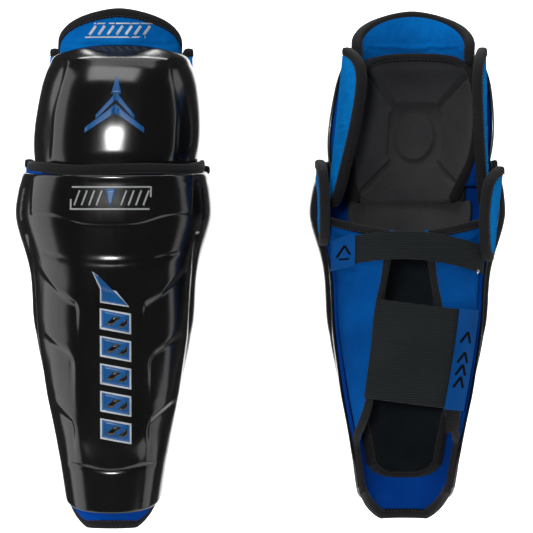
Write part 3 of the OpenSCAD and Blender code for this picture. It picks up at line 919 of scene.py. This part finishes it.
def apron(side):
    def place(u, v, o):
        t = mix(-42, 54, u)
        z = mix(252, 290, v) - 6*(1 - (2*u - 1)**2)*(1 - v)
        return wall(SHIN, SHIN_N, t, z, o)

    def inner(u, v):
        return -19.5 - 1.5*np.sin(v*math.pi)*(1 - (2*u - 1)**4)
    o = slab("knee_pad_apron_cloth", side, place, (120, 38), 2.2, -14.5, inner, 3.0, "lining")
    route = [(u, 0.0) for u in np.linspace(0, 1, 60)]
    edge = bound_edge("apron_hem", side, place, route, [(0, 0.05)]*60, 6.0, 7.5, -16.5, rows=(-1,))
    attach(o, "shin_guards", "lining", side + "_knee_pad_apron")
    attach(edge, "shin_guards", "binding", side + "_knee_pad_apron")


# ---- calf flaps

SIDE_SHARE = 0.9


def side_x(z):
    return SIDE_SHARE*(loft(SHIN, z, 1) + FLAP_O)


def gap_x(z):
    return loft(CALF_GAP, z)


def flap_top(x):
    z = FLAP_HIGH
    share = np.maximum(0, (x - gap_x(z))/(side_x(z) - gap_x(z)))
    return FLAP_HIGH + FLAP_RISE*share**1.4


def rear_angle(z):
    """Wrap angle of the rear edge: the liner's own edge low down, then the flaps' opening."""
    share = np.minimum(gap_x(np.maximum(z, 74))/(loft(SHIN, z, 1) + FLAP_O), 1)
    opening = 180 - np.degrees(np.arcsin(share**(SHIN_N/2)))
    liner = loft(SHIN, z, 4) - 1
    return 3*np.log(np.exp(opening/3 - 30) + np.exp(liner/3 - 30)) + 90


def rear_edge(z):
    """Sideways place of the rear edge."""
    t = np.radians(rear_angle(z))
    return (loft(SHIN, z, 1) + FLAP_O)*np.sin(t)**(2/SHIN_N)


def rear_tape(name, side, s, low, high, along_top):
    """The tape that binds a flap's rear edge from one height to another, then its top edge."""
    def place(t, z, o):
        return wall(SHIN, SHIN_N, t, z, o)
    zs = np.linspace(low, high, int((high - low)/1.6))
    route = [(s*t, z) for t, z in zip(rear_angle(zs), zs)]
    inw = [(-s*1.0, 0)]*len(zs)
    if along_top:
        w = loft(SHIN, FLAP_HIGH, 1) + FLAP_O
        xs = np.linspace(rear_edge(np.array(high)), side_x(FLAP_HIGH) + 2, 40)[1:]
        ts = 180 - np.degrees(np.arcsin(np.minimum(xs/w, 1)**(SHIN_N/2)))
        route += [(s*t, float(flap_top(x))) for t, x in zip(ts, xs)]
        inw += [(0, -0.6)]*39
        route, inw = soften(route, 5), soften(inw, 5)
    return bound_edge(name, side, place, route, inw, 8.0, 5.6, FLAP_O + FLAP_T/2)


def bend(side, parent, body, start, step):
    """The parent, the piece's own body, a start point and a point a step further on, as one tuple; attach only
    bakes the piece's place when given one.
    """
    return (parent, side + "_" + body, as_point(side, start), as_point(side, start + np.array(step, float)))


FLAP_FRONT = 112        # wrap angle at which the flaps leave the liner


def calf_flap(side, name, s):
    """s is -1 for the lateral flap, which is fixed, and 1 for the medial one."""
    def place(u, v, o):
        def angle(z):
            edge = rear_angle(z)
            return mix(np.minimum(FLAP_FRONT, edge - 1), edge, u)
        zn = mix(76, FLAP_HIGH, v)
        x = (loft(SHIN, zn, 1) + FLAP_O)*np.sin(np.radians(angle(zn)))**(2/SHIN_N)
        z = mix(76, flap_top(x), v)
        return wall(SHIN, SHIN_N, s*angle(z), z, o - 1.8*(1 - u)**6)

    def outer(u, v):
        return FLAP_O + FLAP_T + 0.25*np.sin(v*13 + 1)*np.sin(u*5)
    o = slab(name + "_foam", side, place, (48, 190), 2.2, outer, FLAP_O, 1.8, "blue_calf")
    puffed(o, 1.0)
    if s < 0:
        edge = rear_tape("rear_tape_lateral", side, s, 26, FLAP_HIGH, True)
        attach(edge, "shin_guards", "binding")
        attach(o, "shin_guards", "neoprene", side + "_" + name)
    else:
        edge = rear_tape("rear_tape_medial", side, s, TAPE_LOW, FLAP_HIGH, True)
        low = rear_tape("side_tape_medial", side, s, 26, TAPE_LOW - 1, False)
        attach(low, "shin_guards", "binding")
        path = bend(side, "shin_guards", name, back(side_x(190), 190, FLAP_O), (-16, 0, 0))
        attach(edge, "", "binding", side + "_calf_binding_medial", blend=path)
        attach(o, "", "neoprene", side + "_" + name, blend=path)


# ---- wings

KNEE_WING_SHAPE = [[0, 0.25], [0.08, 0.42], [0.25, 0.62], [0.5, 0.88], [0.75, 1], [0.88, 0.86],
                   [0.95, 0.58], [1, 0.16]]
SHIN_WING_SHAPE = [[0, 0.25], [0.1, 0.5], [0.25, 0.73], [0.5, 0.96], [0.7, 1], [0.86, 0.88],
                   [0.94, 0.6], [1, 0.18]]
# name: side sign, low and high end of the hinge line, inward angle, reach, outline
WINGS = {
    "knee_wing_lateral": (-1, (68.5, 19, 286), (61, 17, 428), 28, 38, KNEE_WING_SHAPE),
    "knee_wing_medial": (1, (68.5, 19, 286), (61, 17, 428), 12, 38, KNEE_WING_SHAPE),
    "shin_wing_lateral": (-1, (75.5, 36.5, 252), (81, 37, 328), 5, 34, SHIN_WING_SHAPE),
    "shin_wing_medial": (1, (72.5, 35.8, 238), (80, 37, 322), 22, 34, SHIN_WING_SHAPE)}
WING_T = 6.0
WING_LEAD = 3.0         # how far a wing runs forward of its hinge line, under the shell


def wing(side, name):
    s, low, high, angle, reach, shape = WINGS[name]
    low, high = np.array(low, float), np.array(high, float)
    a = math.radians(angle)
    full = reach + WING_LEAD

    def place(u, v, o):
        """u runs from the hinge edge to the free edge and v up the hinge line."""
        h = np.asarray(v, float)
        p = low + (high - low)*h[..., None]
        d = u*(reach*loft(shape, h) + WING_LEAD) - WING_LEAD
        # the panel cups a little towards the leg
        oo = o + 2.2*np.sin(np.clip(u, 0, 1)*math.pi)*np.sin(np.clip(h, 0, 1)*math.pi)
        x = s*(p[..., 0] - math.sin(a)*d + math.cos(a)*oo) + mix(centre(low[2]), centre(high[2]), h)
        y = p[..., 1] + math.cos(a)*d + math.sin(a)*oo
        return np.stack([x, y, p[..., 2]], -1)

    def outer(u, v):
        return WING_T/2 + 0.5*np.sin(v*9)*np.sin(u*4)

    def foam_place(u, v, o):
        u, v = round_corners(u, v, 0.16, 0.07)
        return place(0.03 + 0.94*u, 0.03 + 0.94*v, o)
    # the wing foam takes the lighter copy of the blue knit, painted light for the key light on its outer face
    o = slab(name + "_foam", side, foam_place, (full, high[2] - low[2]), 2.0, outer, -WING_T/2, 3.0,
             "blue_wing")
    puffed(o, 1.4)
    vs = np.linspace(0.0, 1.0, 90)
    us = np.linspace(0.06, 1.0, 18)
    route = [(u, 0.0) for u in us[:-1]] + [(1.0, v) for v in vs] + [(u, 1.0) for u in us[::-1][1:]]
    inw = [(0, 0.02)]*17 + [(-0.03, 0)]*90 + [(0, -0.02)]*17
    route, inw = soften(route, 9), soften(inw, 9)
    edge = bound_edge(name + "_binding", side, place, route, inw, 8.4, 9.0, 0.0, rows=(1, -1))
    hinge = place(np.array(WING_LEAD/full*0.9), np.array(0.5), 0.0)
    far = place(np.array((WING_LEAD + 16)/full), np.array(0.5), 0.0)
    kind, which = name.rsplit("_", 1)
    parent = side + "_knee_cap" if kind == "knee_wing" else "shin_guards"
    path = bend(side, parent, name, hinge, far - hinge)
    attach(o, "", "neoprene", side + "_" + name, blend=path)
    attach(edge, "", "binding", "%s_%s_binding_%s" % (side, kind, which), blend=path)


# ---- thigh pad

def thigh_top(t):
    return 430 + 32*(1 - np.minimum(np.abs(t)/84, 1)**1.5)**0.8


def thigh_bend(side):
    return bend(side, side + "_knee_cap", "thigh_pad", np.array([centre(430), -43.0, 424.0]), (0, 0, 14.0))


def thigh_pad(side):
    def place(u, v, o):
        t = (2*u - 1)*84
        z = mix(414, thigh_top(t), v)
        return wall(THIGH, THIGH_N, t, z, o)

    def outer(u, v):
        return 0.6 + 1.2*np.sin(np.clip(u, 0, 1)*math.pi)**0.5*np.sin(v*math.pi)

    def inner(u, v):
        return -7.0 - 1.0*np.sin(np.clip(u, 0, 1)*math.pi)*np.sin(v*math.pi)

    def foam_place(u, v, o):
        u, v = round_corners(u, v, 0.06, 0.1)
        return place(0.015 + 0.97*u, 0.05 + 0.93*v, o)
    o = slab("thigh_pad_foam", side, foam_place, (140, 46), 2.0, outer, inner, 3.4, "blue")
    puffed(o, 1.6)
    thigh_mark(side, o)
    route, inw = three_sides(110, 12, 1, -0.05)
    edge = bound_edge("thigh_binding", side, place, soften(route, 5), soften(inw, 5), 9.0, 9.6, -3.2,
                      rows=(1, -1), inset=0.6)
    attach(o, "", "neoprene", side + "_thigh_pad", blend=thigh_bend(side))
    attach(edge, "", "binding", side + "_thigh_pad_binding", blend=thigh_bend(side))


# ---- straps

def strap_x(z):
    return 0.88*(loft(SHIN, z, 1) + STRAP_O)


def upper_mid(x):
    return 240 + 13*(1 - (np.abs(x - 4)/70)**2) - 0.055*x


def calf_high(x):
    return 201.5 - 0.13*x


def calf_low(x):
    return calf_high(x) - 90


def on_tab(x, z, lift):
    return back(x, z, TAB_FACE + lift)


def upper_strap(side):
    end = strap_x(244)
    half = 12.5

    def place(u, v, o):
        x = mix(-end, end, u)
        return back(x, upper_mid(x) + (v - 0.5)*2*half, o)

    def ribs(u, v):
        return STRAP_FACE + 0.12*np.sin(v*2*math.pi*9)
    o = slab("upper_strap_elastic", side, place, (150, 25), 0.9, ribs, STRAP_O, 0.8, "elastic")
    path = bend(side, "shin_guards", "upper_strap", back(np.array(32.0), 250, STRAP_FACE) + [4, 0, 0],
                (-14, 0, 0))
    attach(o, "", "elastic", side + "_upper_strap", side + "_upper_strap_anchor", blend=path)

    def tab_place(u, v, o):
        x = mix(-end - 1.5, -end + 20, u)
        return back(x, upper_mid(x) + (v - 0.5)*(2*half + 3.5), o)
    tab = slab("upper_strap_tab_trim", side, tab_place, (26, 28), 1.2, TAB_FACE, STRAP_FACE + 0.15, 0.9,
               "tab")
    attach(tab, side + "_upper_strap", "tab", side + "_upper_strap_tab")
    mid = -end + 9.5
    mz = upper_mid(mid)
    bars = [bar(mid - 6, mz - 5, mid + 1, mz + 6, 1.0), bar(mid + 1, mz + 6, mid + 6, mz - 2, 1.0),
            bar(mid - 4, mz - 6.5, mid + 5, mz - 5.5, 0.8)]
    printed("upper_tab_mark", side, bars, on_tab, 0.2, "slot", side + "_upper_strap", "webbing", steps=(4, 2))


def calf_strap(side):
    def place(u, v, o):
        left = mix(-39, -28, v)
        right = strap_x(mix(103, 190, v))
        x = mix(left, right, u)
        return back(x, mix(calf_low(x), calf_high(x), v), o)

    def ribs(u, v):
        return STRAP_FACE + 0.14*np.sin(v*2*math.pi*30) + 0.08*np.sin(u*2*math.pi*40)
    o = slab("calf_strap_elastic", side, place, (108, 90), 0.75, ribs, STRAP_O, 0.8, "elastic")
    path = bend(side, "shin_guards", "calf_strap", back(np.array(-33.0), 146, STRAP_FACE) + [-2, 0, 0],
                (14, 0, 0))
    attach(o, "", "elastic", side + "_calf_strap", blend=path)

    def tab_place(u, v, o):
        right = strap_x(mix(103, 190, v))
        x = mix(right - 17, right + 1.5, u)
        return back(x, mix(calf_low(x) - 1, calf_high(x) + 1, v), o)
    tab = slab("calf_strap_tab_trim", side, tab_place, (24, 92), 1.4, TAB_FACE, STRAP_FACE + 0.2, 0.9, "tab")
    attach(tab, side + "_calf_strap", "tab", side + "_calf_strap_tab")
    bars = []
    for z in (126, 137, 148, 166):
        edge = strap_x(z)
        bars += [bar(edge - 13, z, edge - 6, z + 9, 1.1), bar(edge - 6, z + 9, edge - 4, z - 1, 1.1)]
    printed("calf_tab_mark", side, bars, on_tab, 0.2, "slot", side + "_calf_strap", "webbing", steps=(4, 2))

    def hook_place(u, v, o):
        x = mix(strap_x(103) - 15, strap_x(103) - 1.5, u)
        return back(x, mix(84, 106, v) + 3*u, o)
    hook = slab("calf_strap_hook", side, hook_place, (15, 22), 1.6, -2.5, -3.3, 0.4, "hook")
    attach(hook, side + "_calf_strap", "webbing")


# ---- CAD nodes that stay, with their finish

def kept_nodes(side):
    for name in ("_cap_rivets", "_strap_rivet"):
        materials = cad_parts[side + name].data.materials
        materials.clear()
        materials.append(MAT["rivet"])


def hinge_webbing(side):
    """Two hidden straps of webbing that hang the knee cap in the shin shell."""
    path = bend(side, "shin_guards", "knee_cap", np.array([0, -70, 290]), (0, 0, 16))
    for s, name in ((-1, "lateral"), (1, "medial")):
        def place(u, v, o):
            return wall(CAP, CAP_N, s*(42 + (2*u - 1)*8), mix(288, 318, v), o)
        o = slab("hinge_webbing_" + name, side, place, (14, 30), 1.5, -3.3, -4.2, 0.5, "webbing")
        attach(o, "", "webbing", side + "_hinge_webbing", blend=path)


for which in SIDES:
    for build in (shin_shell, knee_cap, marks, shin_liner, rim_binding, shin_pad, knee_liner, knee_pad, apron):
        build(which)
    calf_flap(which, "calf_flap_lateral", -1)
    calf_flap(which, "calf_flap_medial", 1)
    for wing_name in WINGS:
        wing(which, wing_name)
    for build in (thigh_pad, upper_strap, calf_strap, kept_nodes, hinge_webbing):
        build(which)

# ---- studio

FLOOR_DROP = 0.30           # how far the floor lies below the pair
CAMERA_DISTANCE = 3.2
FRAME_WIDTH = 0.4797        # width of the view at the pair
CAMERA_RISE = 2             # degrees above level
CAMERA_TARGET = Vector((0.0053, 0, 0.0008))
FLOOR_HALF = 0.62           # half the floor's width
WORLD_LIGHT = 0.05
# name, place, target, size, power in watts, shape
LAMPS = [
    ("key_box", (-0.25, -3.3, 0.30), (0, 0, 0.02), (0.32, 0.25), 42, "ELLIPSE"),
    ("high_box", (-0.35, -1.25, 1.75), (0, 0, 0.02), (1.5, 0.9), 17, "RECTANGLE"),
    ("left_panel", (-0.95, -0.05, 0.10), (0, 0, 0.02), (0.7, 1.5), 5.0, "RECTANGLE"),
    ("right_panel", (1.0, 0.05, 0.10), (0, 0, 0.02), (0.6, 1.5), 3.2, "RECTANGLE"),
    ("top_box", (0, -0.1, 1.5), (0, 0, 0.02), (1.3, 1.0), 6.0, "RECTANGLE"),
    ("backdrop_box", (0, 0.5, 1.3), (0, 1.7, 0.2), (1.2, 0.5), 22, "RECTANGLE")]


def sweep_profile():
    """Floor and backdrop in one curve, as (depth, height) from the front edge up."""
    curve = [(-0.5, 0.0), (0.9, 0.0)]
    curve += [(0.9 + 0.8*math.sin(q), 0.8 - 0.8*math.cos(q)) for q in np.linspace(0.12, math.pi/2, 12)]
    return curve + [(1.7, 2.6)]


def studio():
    scene = bpy.context.scene
    scene.view_settings.view_transform = "Standard"
    world = bpy.data.worlds.new("studio")
    world.use_nodes = True
    tree = world.node_tree
    sky = tree.nodes["Background"]
    sky.inputs["Color"].default_value = (1, 1, 1, 1)
    # seen straight on, the room beyond the floor is as white as the backdrop; its light stays low
    seen = tree.nodes.new("ShaderNodeLightPath").outputs["Is Camera Ray"]
    tree.links.new(math_node(tree, "MAXIMUM", seen, WORLD_LIGHT), sky.inputs["Strength"])
    scene.world = world


def floor():
    m, tree, sh = new_material("floor_paper")
    ramp(tree, noise(tree, coords(tree), 300.0, 2.0), sh.inputs["Base Color"], 0.9, 0.93)
    constants(sh, Roughness=0.9, Emission_Color=(1, 1, 1, 1), Emission_Strength=0.6)
    floor_z = float(CAD_BOX[0][2]) - FLOOR_DROP
    verts = [(x, y, floor_z + h) for y, h in sweep_profile() for x in (-FLOOR_HALF, FLOOR_HALF)]
    faces = [(j, j + 1, j + 3, j + 2) for j in range(0, len(verts) - 2, 2)]
    mesh = bpy.data.meshes.new("floor")
    mesh.from_pydata(verts, [], faces)
    mesh.materials.append(m)
    mesh.polygons.foreach_set("use_smooth", np.ones(len(faces), bool))
    o = bpy.data.objects.new("floor", mesh)
    bpy.context.scene.collection.objects.link(o)


def put(data, place, target):
    """Puts a lamp or the camera in its place, turned to its target."""
    o = bpy.data.objects.new(data.name, data)
    o.location = place
    o.rotation_euler = (Vector(target) - Vector(place)).to_track_quat("-Z", "Y").to_euler()
    bpy.context.scene.collection.objects.link(o)
    return o


def lights():
    for name, place, target, size, watts, shape in LAMPS:
        light = bpy.data.lights.new(name, "AREA")
        light.shape = shape
        light.size, light.size_y = size
        light.energy = watts
        put(light, place, target)


def camera():
    cam = bpy.data.cameras.new("camera")
    cam.sensor_width = 36
    cam.lens = 36*CAMERA_DISTANCE/FRAME_WIDTH
    cam.clip_end = 20
    e = math.radians(CAMERA_RISE)
    place = CAMERA_TARGET + Vector((0, -math.cos(e), math.sin(e)))*CAMERA_DISTANCE
    bpy.context.scene.camera = put(cam, place, CAMERA_TARGET)


studio()
floor()
lights()
camera()
